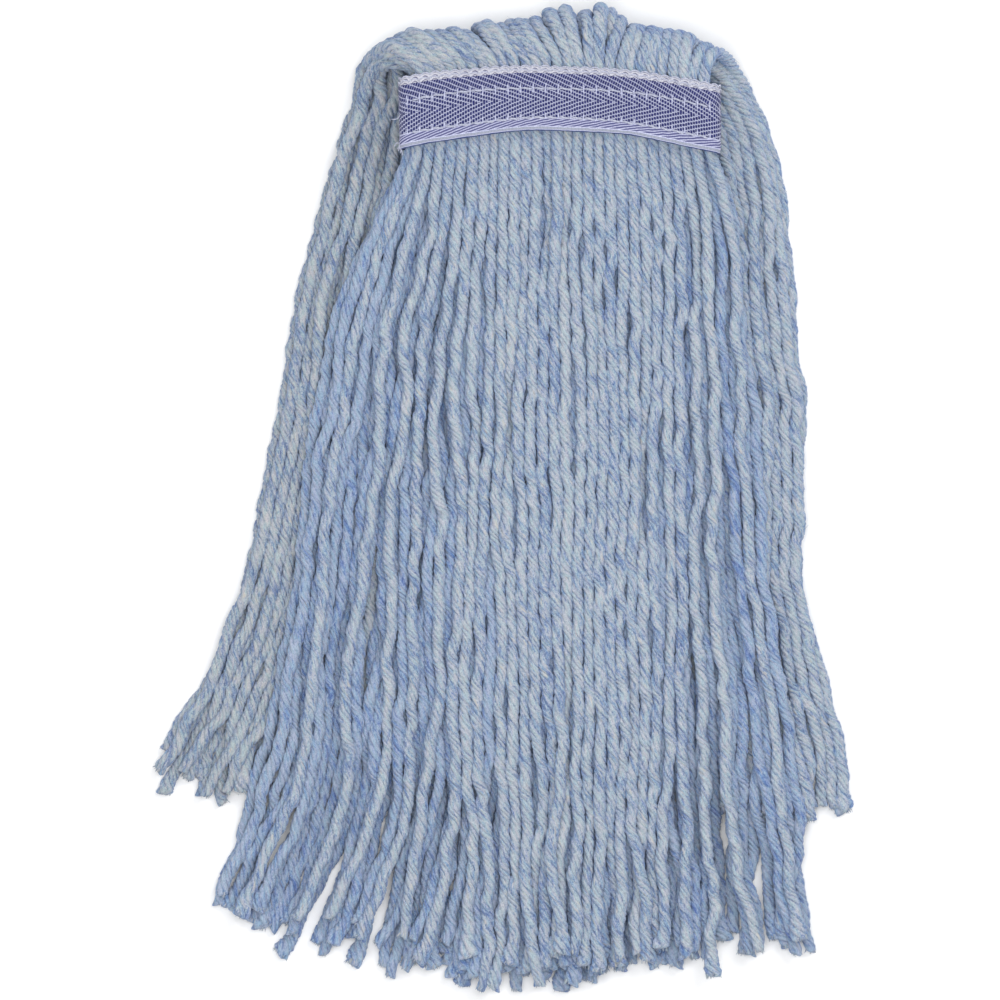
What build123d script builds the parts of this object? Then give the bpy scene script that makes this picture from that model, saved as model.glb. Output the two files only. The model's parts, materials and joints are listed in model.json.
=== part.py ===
from build123d import *
import math
import os

# A cut-end string mop head, lying on its back and folded in half over its crown.
# +X runs across the headband, +Y points towards the crown, +Z rises out of the
# headband's front face. The origin is the middle of that face. Millimetres.

# Driving dimensions: headband
BAND_WIDTH = 148.0  # end to end
TAPE_HEIGHT = 32.0  # a standard 1 1/4 in headband tape
TAPE_THICKNESS = 1.2
BAND_THICKNESS = 22.0  # tape, gathered yarn and tape
BAND_ARCH = 6.5  # the band's middle stands this far above its ends
BAND_TILT = -1.4  # degrees about +Z, at the band's middle
END_ROUND = 5.0  # the tape's fold round each end of the yarn

# Driving dimensions: stitching through the band
STITCH_PITCH = 5.8
STITCH_LENGTH = 4.6
STITCH_WIDTH = 1.3
STITCH_DEPTH = 0.6
STITCH_ROWS = {"upper": 5.3, "lower": -9.6}  # height above the tape's middle line
STITCH_END_MARGIN = 8.0  # plain tape left at each end of a row

# Driving dimensions: yarn
FLOOR_Z = -46.0
CROWN_Y = 26.0  # the crown's height at its two ends
CROWN_ARCH = 18.5  # the crown's middle stands this far above its ends
CROWN_ROUND = 20.0  # radius of the yarn's turn over the crown
FRONT_HINGE_Y = -26.0  # where the front half leaves the headband
FRONT_HEM_TOP = 13.0  # thickness of the front half's hem
BODY_GAP = 0.6  # clearance between pieces that move apart
LOCK_GAP = 0.4  # clearance between neighbouring locks of one body
HEAD_LOCKS = 6
FRONT_LOCKS = {"top": 7, "under": 6}
REAR_LOCKS = {"inner": 6, "floor": 7}

# The side edges of each half, root first and hem last
FRONT_LEFT = [(-73, -26), (-98, -95), (-122, -200), (-143, -300), (-152, -369)]
FRONT_RIGHT = [(73, -26), (90, -95), (102, -200), (110, -300), (113, -369)]
FRONT_HEM_BULGE = -45.0  # the hem's middle hangs this much further down
REAR_LEFT = [(-80, 26), (-104, -20), (-123, -115), (-145, -212), (-187, -308)]
REAR_RIGHT = [(78, 26), (98, -20), (115, -115), (120, -225), (132, -320)]
REAR_HEM_BULGE = 16.0  # the rear half's hem is shorter in the middle

# Derived values
HALF_WIDTH = BAND_WIDTH / 2
ARCH_RADIUS = (HALF_WIDTH**2 + BAND_ARCH**2) / (2 * BAND_ARCH)
BAND_ANGLE = math.degrees(math.asin(HALF_WIDTH / ARCH_RADIUS))
TAPE_ANGLE = math.degrees(TAPE_THICKNESS / ARCH_RADIUS)
BAND_BACK = -BAND_THICKNESS
FOLD_Z = BAND_BACK - 2 * BODY_GAP  # plane between the two halves
REAR_TOP = FOLD_Z - BODY_GAP
HEM_Y = FRONT_LEFT[-1][1] + FRONT_HEM_BULGE
REACH = 500.0  # longer than the whole head


def mix(a, b, share):
    return tuple(p + (q - p) * share for p, q in zip(a, b))


def band_point(radius, angle):
    """A point of the arched band, angle in degrees from the band's middle line."""
    turn = math.radians(angle)
    tilt = math.radians(BAND_TILT)
    x = radius * math.sin(turn)
    y = radius * math.cos(turn) - ARCH_RADIUS
    return (x * math.cos(tilt) - y * math.sin(tilt), x * math.sin(tilt) + y * math.cos(tilt))


def prism(edges, low, high):
    return Pos(0, 0, low) * extrude(make_face(edges), amount=high - low)


def band_block(inner, outer, start, end, low, high):
    """A block that follows the band's arch, between two radii and two angles."""
    middle = (start + end) / 2
    near = [band_point(inner, a) for a in (start, middle, end)]
    far = [band_point(outer, a) for a in (end, middle, start)]
    outline = [
        ThreePointArc(*near),
        Line(near[2], far[0]),
        ThreePointArc(*far),
        Line(far[2], near[0]),
    ]
    return prism(outline, low, high)


def stitch_row(height, low, high):
    """The separate stitches of one row, each a short bar set into the tape."""
    radius = ARCH_RADIUS + height
    step = math.degrees(STITCH_PITCH / radius)
    half_length = math.degrees(STITCH_LENGTH / 2 / radius)
    half_row = BAND_ANGLE - math.degrees(STITCH_END_MARGIN / ARCH_RADIUS)
    count = int(2 * half_row / step)
    first = -step * (count - 1) / 2
    near = radius - STITCH_WIDTH / 2
    far = radius + STITCH_WIDTH / 2
    centres = [first + step * i for i in range(count)]
    return [band_block(near, far, c - half_length, c + half_length, low, high) for c in centres]


def make_stitches():
    rows = {}
    for name, height in STITCH_ROWS.items():
        rows[f"{name}_stitches_front"] = stitch_row(height, -STITCH_DEPTH, 0)
        rows[f"{name}_stitches_back"] = stitch_row(height, BAND_BACK, BAND_BACK + STITCH_DEPTH)
    return rows


def folded_block(reach, angle, low, high, radius):
    """An arched block with the four straight edges at its two ends rounded."""
    block = band_block(ARCH_RADIUS - reach, ARCH_RADIUS + reach, -angle, angle, low, high)
    folds = [
        edge for edge in block.edges().filter_by(GeomType.LINE) if abs((edge % 0.5).Z) < 0.01
    ]
    return fillet(folds, radius)


def make_tape_loop():
    """The tape wrapped once round the gathered yarn, before it is stitched."""
    reach = TAPE_HEIGHT / 2
    loop = folded_block(reach, BAND_ANGLE, BAND_BACK, 0, END_ROUND)
    core = folded_block(
        2 * reach,
        BAND_ANGLE - TAPE_ANGLE,
        BAND_BACK + TAPE_THICKNESS,
        -TAPE_THICKNESS,
        END_ROUND - TAPE_THICKNESS,
    )
    return loop - core


def lock_outline(left, right, share_0, share_1, root_bulge, hem_bulge):
    """Plan of one lock: a strip between two lines that fan out from root to hem."""

    def side(share, nudge):
        line = [mix(a, b, share) for a, b in zip(left, right)]
        arch = 4 * share * (1 - share)
        line[0] = (line[0][0], line[0][1] + root_bulge * arch)
        line[-1] = (line[-1][0], line[-1][1] + hem_bulge * arch)
        return [(x + nudge, y) for x, y in line]

    nudge = LOCK_GAP / 2
    return side(share_0, nudge) + side(share_1, -nudge)[::-1]


def make_lock(plan, profile):
    """The solid that has this plan from above and this (y, z) profile from the side."""
    tall = prism(Polyline(*plan, close=True), FLOOR_Z - 1, 1)
    face = Plane.YZ * make_face(profile)
    return tall & extrude(face, amount=REACH, both=True)


def front_edge(y, top):
    """Height of the front half's top or bottom surface, sloping to the floor at the hem."""
    root = -LOCK_GAP if top else BAND_BACK
    hem = FLOOR_Z + FRONT_HEM_TOP if top else FLOOR_Z
    share = (FRONT_HINGE_Y - y) / (FRONT_HINGE_Y - HEM_Y)
    return root + (hem - root) * share


def front_profile(layer):
    root_y = FRONT_HINGE_Y - BODY_GAP
    top = [front_edge(root_y, True), front_edge(HEM_Y, True)]
    bottom = [front_edge(root_y, False), front_edge(HEM_Y, False)]
    middle = [(a + b) / 2 for a, b in zip(top, bottom)]
    high, low = (top, middle) if layer == "top" else (middle, bottom)
    drop = LOCK_GAP if layer == "under" else 0
    corners = [
        (root_y, low[0]),
        (root_y, high[0] - drop),
        (HEM_Y - 1, high[1] - drop),
        (HEM_Y - 1, low[1]),
    ]
    return Polyline(*corners, close=True)


def make_front_locks():
    locks = {}
    for layer, count in FRONT_LOCKS.items():
        profile = front_profile(layer)
        for i in range(count):
            plan = lock_outline(
                FRONT_LEFT, FRONT_RIGHT, i / count, (i + 1) / count, 0, FRONT_HEM_BULGE
            )
            locks[f"front_{layer}_lock_{i + 1}"] = make_lock(plan, profile)
    return locks


def crown_height(share):
    return CROWN_Y + CROWN_ARCH * 4 * share * (1 - share)


def rear_top(y):
    """The rear half's upper surface, just clear of the front half's underside."""
    if y > FRONT_HINGE_Y:
        return REAR_TOP
    return front_edge(y, False) - (BAND_BACK - REAR_TOP)


def rear_profile(layer, crown):
    """Side of a rear lock: it turns under at the crown and lies on the floor."""
    end_y = REAR_RIGHT[-1][1] - 1
    middle_z = (REAR_TOP + FLOOR_Z) / 2
    end_middle = (rear_top(end_y) + FLOOR_Z) / 2
    bend = CROWN_ROUND * (1 - math.sqrt(0.5))
    turn_y = crown - CROWN_ROUND
    if layer == "floor":
        return [
            Line((end_y, end_middle), (turn_y, middle_z)),
            Line((turn_y, middle_z), (turn_y, REAR_TOP)),
            Line((turn_y, REAR_TOP), (crown, REAR_TOP)),
            ThreePointArc((crown, REAR_TOP), (crown - bend, FLOOR_Z + bend), (turn_y, FLOOR_Z)),
            Line((turn_y, FLOOR_Z), (end_y, FLOOR_Z)),
            Line((end_y, FLOOR_Z), (end_y, end_middle)),
        ]
    root_y = CROWN_Y - CROWN_ROUND
    corners = [
        (root_y, middle_z + LOCK_GAP),
        (root_y, REAR_TOP),
        (FRONT_HINGE_Y, REAR_TOP),
        (end_y, rear_top(end_y)),
        (end_y, end_middle + LOCK_GAP),
    ]
    return Polyline(*corners, close=True)


def make_rear_locks():
    locks = {}
    for layer, count in REAR_LOCKS.items():
        for i in range(count):
            shares = (i / count, (i + 1) / count)
            crown = max(crown_height(s) for s in shares)
            plan = lock_outline(REAR_LEFT, REAR_RIGHT, *shares, CROWN_ARCH, REAR_HEM_BULGE)
            locks[f"rear_{layer}_lock_{i + 1}"] = make_lock(plan, rear_profile(layer, crown))
    return locks


def head_profile(crown):
    """Side of the yarn in the head: level through the band, then over the crown."""
    top = -LOCK_GAP
    radius = top - BAND_BACK
    bend = radius * (1 - math.sqrt(0.5))
    turn_y = crown - radius
    return [
        Line((FRONT_HINGE_Y, BAND_BACK), (FRONT_HINGE_Y, top)),
        Line((FRONT_HINGE_Y, top), (turn_y, top)),
        ThreePointArc((turn_y, top), (crown - bend, top - bend), (crown, BAND_BACK)),
        Line((crown, BAND_BACK), (FRONT_HINGE_Y, BAND_BACK)),
    ]


def make_head_locks(tape_loop):
    """The gathered yarn inside the tape, and the upper side of the crown."""
    locks = {}
    angle = BAND_ANGLE - 2 * TAPE_ANGLE
    for i in range(HEAD_LOCKS):
        shares = (i / HEAD_LOCKS, (i + 1) / HEAD_LOCKS)
        sides = []
        for share, nudge in zip(shares, (LOCK_GAP / 2, -LOCK_GAP / 2)):
            foot = band_point(ARCH_RADIUS - TAPE_HEIGHT, angle * (2 * share - 1))
            head = band_point(ARCH_RADIUS + TAPE_HEIGHT / 2, angle * (2 * share - 1))
            tip = (REAR_LEFT[0][0] * (1 - share) + REAR_RIGHT[0][0] * share, crown_height(share))
            sides.append([(x + nudge, y) for x, y in (foot, head, tip)])
        plan = sides[0] + sides[1][::-1]
        crown = max(crown_height(s) for s in shares)
        locks[f"head_lock_{i + 1}"] = make_lock(plan, head_profile(crown)) - tape_loop
    return locks


def main():
    os.makedirs("parts", exist_ok=True)
    tape_loop = make_tape_loop()
    stitches = make_stitches()
    pockets = [stitch for row in stitches.values() for stitch in row]
    nodes = {"headband_tape": tape_loop - pockets}
    for name, row in stitches.items():
        nodes[name] = Compound(children=row)
    nodes.update(make_head_locks(tape_loop))
    nodes.update(make_front_locks())
    nodes.update(make_rear_locks())
    for name, shape in nodes.items():
        export_step(shape, f"parts/{name}.step")


if __name__ == "__main__":
    main()
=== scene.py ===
import json
import math

import bpy
import numpy as np
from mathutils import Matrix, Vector


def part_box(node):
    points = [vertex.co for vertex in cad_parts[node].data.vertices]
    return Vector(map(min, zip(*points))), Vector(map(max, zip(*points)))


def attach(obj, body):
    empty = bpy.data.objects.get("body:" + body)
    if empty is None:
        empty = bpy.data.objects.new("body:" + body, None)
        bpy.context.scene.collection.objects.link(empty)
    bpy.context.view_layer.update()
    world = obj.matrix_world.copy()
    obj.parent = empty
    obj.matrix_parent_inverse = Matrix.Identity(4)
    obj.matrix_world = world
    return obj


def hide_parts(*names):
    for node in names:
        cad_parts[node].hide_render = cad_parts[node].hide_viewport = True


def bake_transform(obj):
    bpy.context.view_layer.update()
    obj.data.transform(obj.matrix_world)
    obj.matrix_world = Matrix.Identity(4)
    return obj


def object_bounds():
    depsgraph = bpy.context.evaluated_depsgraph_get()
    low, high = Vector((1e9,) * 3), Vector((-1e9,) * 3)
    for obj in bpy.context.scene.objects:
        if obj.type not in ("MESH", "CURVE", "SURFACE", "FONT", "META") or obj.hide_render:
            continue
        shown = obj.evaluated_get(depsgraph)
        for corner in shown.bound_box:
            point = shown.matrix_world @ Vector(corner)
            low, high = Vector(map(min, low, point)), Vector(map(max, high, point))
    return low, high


# A cut-end string mop head lying on its back, folded in half over its crown. The front
# half of each strand hangs from the headband's lower edge, the rear half rises out of its
# upper edge, turns over and lies underneath. Metres throughout.

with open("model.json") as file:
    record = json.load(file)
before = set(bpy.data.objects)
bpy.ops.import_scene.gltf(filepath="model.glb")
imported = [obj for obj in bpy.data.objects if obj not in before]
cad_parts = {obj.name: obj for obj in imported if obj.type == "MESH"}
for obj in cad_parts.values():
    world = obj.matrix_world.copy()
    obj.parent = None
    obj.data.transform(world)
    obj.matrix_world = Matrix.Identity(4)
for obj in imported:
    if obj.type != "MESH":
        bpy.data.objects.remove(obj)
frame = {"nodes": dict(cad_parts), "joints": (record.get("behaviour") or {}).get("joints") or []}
cad_low, cad_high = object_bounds()
joints = {joint["name"]: joint for joint in frame["joints"]}
tape_low, tape_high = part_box("headband_tape")

MM = 0.001
TURN = 2 * math.pi


def mm(*values):
    """These millimetres in metres."""
    return np.array(values) * MM


# Heights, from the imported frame
FLOOR_Z = cad_low.z
TAPE_Z = tape_high.z
FOLD_Z = joints["rear_unfold"]["pos_m"][2]

# Headband
TAPE_HEIGHT = 32 * MM
TAPE_THICKNESS = 1.2 * MM
BAND_HALF = 74 * MM
BAND_RISE = -0.4 * MM  # the middle of the tape is this far above its mean line
BAND_SAG = 8.6 * MM  # and its ends are this far below the middle
BAND_SLOPE = -0.019
SEAM_LAP = 9 * MM
BAND_BACK_Z = tape_low.z
FOLD_ROUND = 5 * MM
STITCH_PITCH = 5.8 * MM
UPPER_STITCHES = 5.3 * MM
LOWER_STITCHES = -9.6 * MM
LOOP_PITCH = 4.6 * MM
WARP_PITCH = 1.19 * MM
CHEVRON_HEIGHT = -0.3 * MM

# Yarn
YARN_RADIUS = 2.8 * MM
CONTACT = 5.15 * MM  # two soft strands that press together are this far apart
ROWS = 4
COLUMNS = 28
ROW_PITCH = 4.7 * MM
TOP_ROW_DEPTH = 2.6 * MM  # its centrelines lie this far under the tape
TWIST_PITCH = 17.5 * MM
PLIES = 5
PLY_POINTS = 4  # points round each ply
FIBRE_TURN = 0.5  # for each turn of the plies, the fibres turn this much less
PLY_DEPTH = 0.22
BROAD = 1.05  # the strands are pressed a little flat
FLAT = 0.93
RING_STEP = 2.0 * MM
AROUND = PLY_POINTS * PLIES
PLY = np.arange(AROUND) // PLY_POINTS  # the ply that each point round a strand belongs to
EVEN = TURN * np.arange(AROUND) / AROUND
FUZZ_PER_RING = 0.35
CUT_STEPS = mm(0.7, 1.3, 1.6)  # the rings that close a cut end: how far out
CUT_SHRINKS = (0.93, 0.66, 0.3)  # and how narrow
# Painted shade on the strands under the top row: how much bluer and darker they are painted
UNDER_SHADE = 0.5  # how much bluer the strands under the top ones look
FULLER = 0.16  # over the crown the strands swell by this share
SLICE_STEP = 5 * MM
FRONT_LOCKS = 7  # the strands under the front's top row make this many pieces

# Outlines of the two halves: heights, left edges and right edges. Hems: shares of the width
# from the left, and heights
FRONT_OUTLINE = (
    mm(20, -26, -48, -74, -106, -138, -175, -225, -255, -290, -322, -350, -420),
    mm(-69, -70, -80, -93, -106, -112, -118, -124, -130, -134, -139, -144, -148),
    mm(69, 71, 79, 84, 88, 91, 94, 98, 104, 110, 114, 116, 117),
)
REAR_OUTLINE = (
    mm(30, 22, 11, -2, -14, -41, -87, -138, -175, -212, -255, -290, -315, -420),
    mm(-77, -82, -86, -92, -99, -105, -118, -125, -133, -142, -157, -176, -188, -212),
    mm(73, 76, 82, 89, 95, 102, 105, 112, 109, 110, 119, 125, 129, 139),
)
FRONT_HEM = (
    (0, 0.03, 0.13, 0.21, 0.40, 0.50, 0.63, 0.75, 0.90, 0.97, 1),
    mm(-366, -373, -385, -394, -405, -399, -397, -389, -393, -390, -384),
)
REAR_HEM = ((0, 0.04, 0.16, 0.3, 0.7, 0.93, 1), mm(-290, -307, -322, -300, -302, -334, -324))
FRONT_FAN = (5.0, 3.6, 2.3, 1.2)  # row by row, how late the strands begin to lean outwards
REAR_FAN = (1.1, 1.1, 1.1, 1.1)
LEAN_SHARE = [0, 0.1, 0.3, 0.5, 0.65, 0.8, 0.9, 1]
LEAN = mm(-3, -9, -12, -7, 0, 3, -2, -7)  # how far the crown's strands swing aside
CROWN_NEST = [0.98, 0.86, 0.58, 0.27]  # how far out each row of the crown turns over
CROWN_X = mm(-93, -89, -71, -58, -44, -32, -8, 4, 11, 16, 20, 25, 30, 40, 52, 60, 69, 78, 85, 93)
CROWN_TOP = mm(8, 18, 32, 34, 33, 37, 41, 44, 44, 40, 47, 47, 38, 35, 33, 30, 24, 19, 11, 0)
HEAD_HALF = 69 * MM  # half the width of the yarn in the headband
ROOT_IN_BAND = 5 * MM  # the built strands begin this far inside the headband's edge

# Small irregularities of the strands
STAGGER = 0.25  # of the strands' spacing, between one row and the next
JITTER = 0.12
HEM_SCATTER = 5.5 * MM
SHEAVES = 4.3  # near the hem the strands lean together in this many sheaves
SHEAF_LEAN = 3 * MM
SPLAY_LENGTH = 80 * MM
CROWN_SWING = (2.4 * MM, 1.0 * MM)  # scatter to the side: of pairs of strands, and of single ones
CROWN_RISE = (0.8 * MM, 0.5 * MM)
CROWN_LIFT = 5 * MM
WING_DROP = 20 * MM
DRIFTS = ((0.010, 1.3, 0.8), (0.007, 2.9, 1.5), (0.005, 6.3, 2.3))  # share, waves across and down
WAVES = ((1.3 * MM, 0.13), (0.8 * MM, 0.06), (0.5 * MM, 0.032))  # size and length
KINKS = ((0, 0.60 * MM), (0, 0.45 * MM), (2, 0.50 * MM))  # axis and size

# How the pile of strands settles, see relax
SETTLE_ROUNDS = 260
SINK = 0.16 * MM  # in each round, slower towards the end
STRAIGHTEN = 0.35  # how strongly neighbouring slices pull a strand straight
PUSH = 0.8  # the share of an overlap that one push takes away
KEEP = 0.985  # the share of its way to the side that a strand keeps in each round
LONGEST_MOVE = 1.5 * MM
FLOOR_PRESS = 0.94  # on the floor a strand is pressed to this share of its radius

# Camera and lights
MIDDLE = ((cad_low.x + cad_high.x) / 2, (cad_low.y + cad_high.y) / 2)
CAMERA_Z = 8.0
SEEN_WIDTH = 0.460  # the picture's width, at the height SEEN_Z
SEEN_Z = -12 * MM
LIGHTS = (  # name, place, size and power
    ("key", (1.0, 0.9, 1.7), 1.0, 20),
    ("fill", (-1.2, -0.8, 1.5), 1.6, 9),
    ("top", (0.0, -0.2, 2.2), 1.0, 24),
)


def smoothstep(low, high, value):
    t = np.clip((value - low) / (high - low), 0, 1)
    return t * t * (3 - 2 * t)


def unit(vectors):
    return vectors / np.linalg.norm(vectors, axis=1)[:, None]


def distances(line):
    """How far along the line each of its points lies."""
    return np.r_[0, np.cumsum(np.linalg.norm(np.diff(line, axis=0), axis=1))]


def points_at(at, length, line):
    """The points of the line at the given distances along it."""
    return np.stack([np.interp(at, length, line[:, c]) for c in range(3)], axis=1)


def band_middle(x):
    """Height along +Y of the headband's middle line at x."""
    return BAND_RISE + BAND_SLOPE * x - BAND_SAG * (x / BAND_HALF) ** 2


def band_place(u, v, z):
    """The point u across the band and v above its middle line, at height z."""
    return np.stack(np.broadcast_arrays(u, band_middle(np.asarray(u)) + v, z), axis=-1)


# ---- Strands: where each one lies ----


class Bundle:
    """One half of the head: a fan of strands, described slice by slice along Y."""

    def __init__(self, rng, ys, outline, hem, row_z, fan, splay, flare):
        self.row = np.repeat(np.arange(ROWS), COLUMNS)
        self.column = np.tile(np.arange(COLUMNS), ROWS)
        stagger = np.where(self.row % 2 == 0, STAGGER, -STAGGER)
        jitter = rng.uniform(-JITTER, JITTER, self.row.size)
        self.share = (self.column + 0.5 + stagger + jitter) / COLUMNS
        self.share = 0.012 + 0.976 * self.share  # just inside the outline
        left, right = [np.interp(-ys, -outline[0], edge)[:, None] for edge in outline[1:]]
        share = fanned(self.share + self.wander(rng, ys), left, right, np.array(fan)[self.row])
        self.end = np.interp(self.share, *hem)
        self.end += rng.normal(0, HEM_SCATTER, self.row.size).clip(-12 * MM, 9 * MM)
        self.x = left + (right - left) * share
        self.x += self.waviness(rng, ys, splay, flare)
        self.z = np.tile(row_z[self.row], (ys.size, 1))
        self.there = ys[:, None] >= self.end - SLICE_STEP
        self.size = self.row.size

    def wander(self, rng, ys):
        """Each row drifts to and fro in the fan by itself, so that rows cross."""
        total = np.zeros((ys.size, self.row.size))
        down = np.clip(-ys / 0.4, 0, 1)[:, None]
        for row in range(ROWS):
            mine = self.row == row
            for size, across, along in DRIFTS:
                phase = rng.uniform(0, TURN)
                turns = across * self.share[mine] + along * down
                wave = np.sin(TURN * turns + phase)
                edge = np.sin(math.pi * self.share[mine]) ** 0.5
                total[:, mine] += size * wave * edge * smoothstep(0, 0.35, down)
        return total

    def waviness(self, rng, ys, splay, flare):
        total = np.zeros((ys.size, self.row.size))
        for size, length in WAVES:
            phase = rng.uniform(0, TURN, self.row.size)
            stretch = rng.uniform(0.75, 1.35, self.row.size)
            total += size * np.sin(TURN * ys[:, None] / (length * stretch) + phase)
        total *= smoothstep(0.02, 0.07, -ys)[:, None]
        to_end = ys[:, None] - self.end
        total *= 1 + 0.3 * smoothstep(100 * MM, 20 * MM, to_end)
        # Near their ends the strands splay, in small sheaves and one by one
        sheaf = SHEAF_LEAN * np.sin(TURN * SHEAVES * self.share + rng.uniform(0, 6))
        sheaf += rng.normal(0, splay, self.row.size) + 6 * MM * (self.share - 0.5)
        sheaf -= flare * smoothstep(0.45, 0.10, self.share)
        return total + sheaf * np.clip(1 - to_end / SPLAY_LENGTH, 0, 1.1) ** 1.8


def fanned(share, left, right, power):
    """The share of the width at which a strand lies, when its lean grows outwards."""
    # Where the two outlines lean equally far, the strands stay straight
    out_left = np.maximum(left[0] - left, 0) + 1 * MM
    out_right = np.maximum(right - right[0], 0) + 1 * MM
    pivot = out_left / (out_left + out_right)
    t_left = np.clip((pivot - share) / pivot, 0, None)
    t_right = np.clip((share - pivot) / (1 - pivot), 0, None)
    lean = np.where(share < pivot, -out_left * t_left ** power, out_right * t_right ** power)
    straight = left[0] + (right[0] - left[0]) * share
    return (straight + lean - left) / (right - left)


def near_pairs(x, z, there):
    """Pairs of strands in the same slice that could soon touch."""
    close = 2.2 * CONTACT
    dx = np.abs(x[:, :, None] - x[:, None, :])
    dz = np.abs(z[:, :, None] - z[:, None, :])
    near = (dx < close) & (dz < close) & there[:, :, None] & there[:, None, :]
    k, i, j = np.nonzero(near)
    keep = i < j
    return k[keep], i[keep], j[keep]


def straighten(line):
    line[1:-1] += STRAIGHTEN * (0.5 * (line[:-2] + line[2:]) - line[1:-1])


def relax(x, z, there, fixed, ceiling):
    """Lets the strands sink and press side by side until none lies in another.

    Each slice along Y is a pile of discs, and neighbouring slices pull each strand straight.
    """
    target = x.copy()
    rest_z = z.copy()
    slices, count = x.shape
    for step in range(SETTLE_ROUNDS):
        if step % 8 == 0:
            k, i, j = near_pairs(x, z, there)
        calm = 1 - step / SETTLE_ROUNDS
        z -= SINK * (0.25 + calm)
        shift = x - target
        straighten(shift)
        x[:] = target + KEEP * shift
        straighten(z)
        for _ in range(2):
            dx = x[k, j] - x[k, i]
            dz = z[k, j] - z[k, i]
            gap = np.sqrt(dx * dx + dz * dz) + 1e-9
            push = np.maximum(CONTACT - gap, 0) / gap * 0.5 * PUSH
            at_i = k * count + i
            at_j = k * count + j
            for line, part in ((x, dx), (z, dz)):
                move = np.bincount(at_j, push * part, slices * count)
                move -= np.bincount(at_i, push * part, slices * count)
                line += move.reshape(slices, count).clip(-LONGEST_MOVE, LONGEST_MOVE)
            z[:] = np.maximum(z, FLOOR_Z + YARN_RADIUS * FLOOR_PRESS)
            z[:] = np.minimum(z, ceiling)
        x[fixed] = target[fixed]
        z[fixed] = rest_z[fixed]
    return x, z


def head_height(row):
    """The height at which a row of strands runs through the headband."""
    return TAPE_Z - TAPE_THICKNESS - TOP_ROW_DEPTH - row * ROW_PITCH


def lay_out_strands():
    """The centreline of every strand's front half and rear half."""
    rng = np.random.default_rng(11)
    ys = np.arange(25 * MM, -425 * MM, -SLICE_STEP)
    rows = np.arange(ROWS)
    head_z = head_height(rows)
    rear_z = FLOOR_Z + YARN_RADIUS + rows * ROW_PITCH
    front = Bundle(rng, ys, FRONT_OUTLINE, FRONT_HEM, head_z, FRONT_FAN, 3.0 * MM, 18 * MM)
    rear = Bundle(rng, ys, REAR_OUTLINE, REAR_HEM, rear_z, REAR_FAN, 4.6 * MM, 0)
    x = np.hstack([front.x, rear.x])
    z = np.hstack([front.z, rear.z])
    there = np.hstack([front.there, rear.there])
    # The headband holds the front half down to 3 mm above its lower edge
    edge = band_middle(front.x[0]) - TAPE_HEIGHT / 2 + 3 * MM
    held = ys[:, None] > edge
    fixed = np.hstack([held, np.zeros_like(held)])
    fixed[:2, front.size:] = True
    # The rear half stays under the fold's plane, the outer rows of the crown furthest
    below = FOLD_Z - fold_depth(rear.row) - 1 * MM
    ceiling = np.hstack([np.full(front.size, TAPE_Z + 1.5 * MM), below])
    x, z = relax(x, z, there, fixed, ceiling)
    return ys, front, rear, x, z


def fold_depth(row):
    """How far above and below the fold's plane a row of the crown goes on turning."""
    return mm(9.0, 6.5, 4.0, 1.6)[row]


def even_path(points, spread):
    """The same line with evenly spaced points, smoothed over the given distance."""
    length = distances(points)
    fine = 1 * MM
    at = np.linspace(0, length[-1], max(int(length[-1] / fine), 8))
    line = points_at(at, length, points)
    half = int(2.5 * spread / fine)
    kernel = np.exp(-0.5 * (np.arange(-half, half + 1) * fine / spread) ** 2)
    kernel /= kernel.sum()
    before = 2 * line[0] - line[half:0:-1]
    after = 2 * line[-1] - line[-2:-half - 2:-1]
    padded = np.vstack([before, line, after])
    line = np.stack([np.convolve(padded[:, c], kernel, "valid") for c in range(3)], axis=1)
    length = distances(line)
    at = np.linspace(0, length[-1], max(int(round(length[-1] / RING_STEP)) + 1, 4))
    return points_at(at, length, line)


def wiggled(rng, path):
    """The strand's own small kinks, which let it overlap its neighbours here and there."""
    along = distances(path)
    free = smoothstep(12 * MM, 35 * MM, along)
    path = path.copy()
    for axis, size in KINKS:
        length = rng.uniform(12, 30) * MM
        wave = np.sin(TURN * along / length + rng.uniform(0, 6.28))
        uneven = 0.6 + 0.4 * np.sin(TURN * along / (3.7 * length) + rng.uniform(0, 6.28))
        path[:, axis] += size * wave * uneven * free
    return path


def half_line(ys, x, z, root_y, end_y):
    """One strand's points from root_y down to its cut end."""
    order = ys[::-1]
    at = np.r_[root_y, ys[(ys < root_y - 2 * MM) & (ys > end_y + 2 * MM)], end_y]
    return np.stack([np.interp(at, order, x[::-1]), at, np.interp(at, order, z[::-1])], axis=1)


def front_paths(ys, front, x, z):
    """Lines from inside the headband's lower edge down to the front hem."""
    paths = []
    for i in range(front.size):
        root = band_middle(front.x[0, i]) - TAPE_HEIGHT / 2 + ROOT_IN_BAND
        paths.append(half_line(ys, x[:, i], z[:, i], root, front.end[i]))
    return paths


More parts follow.
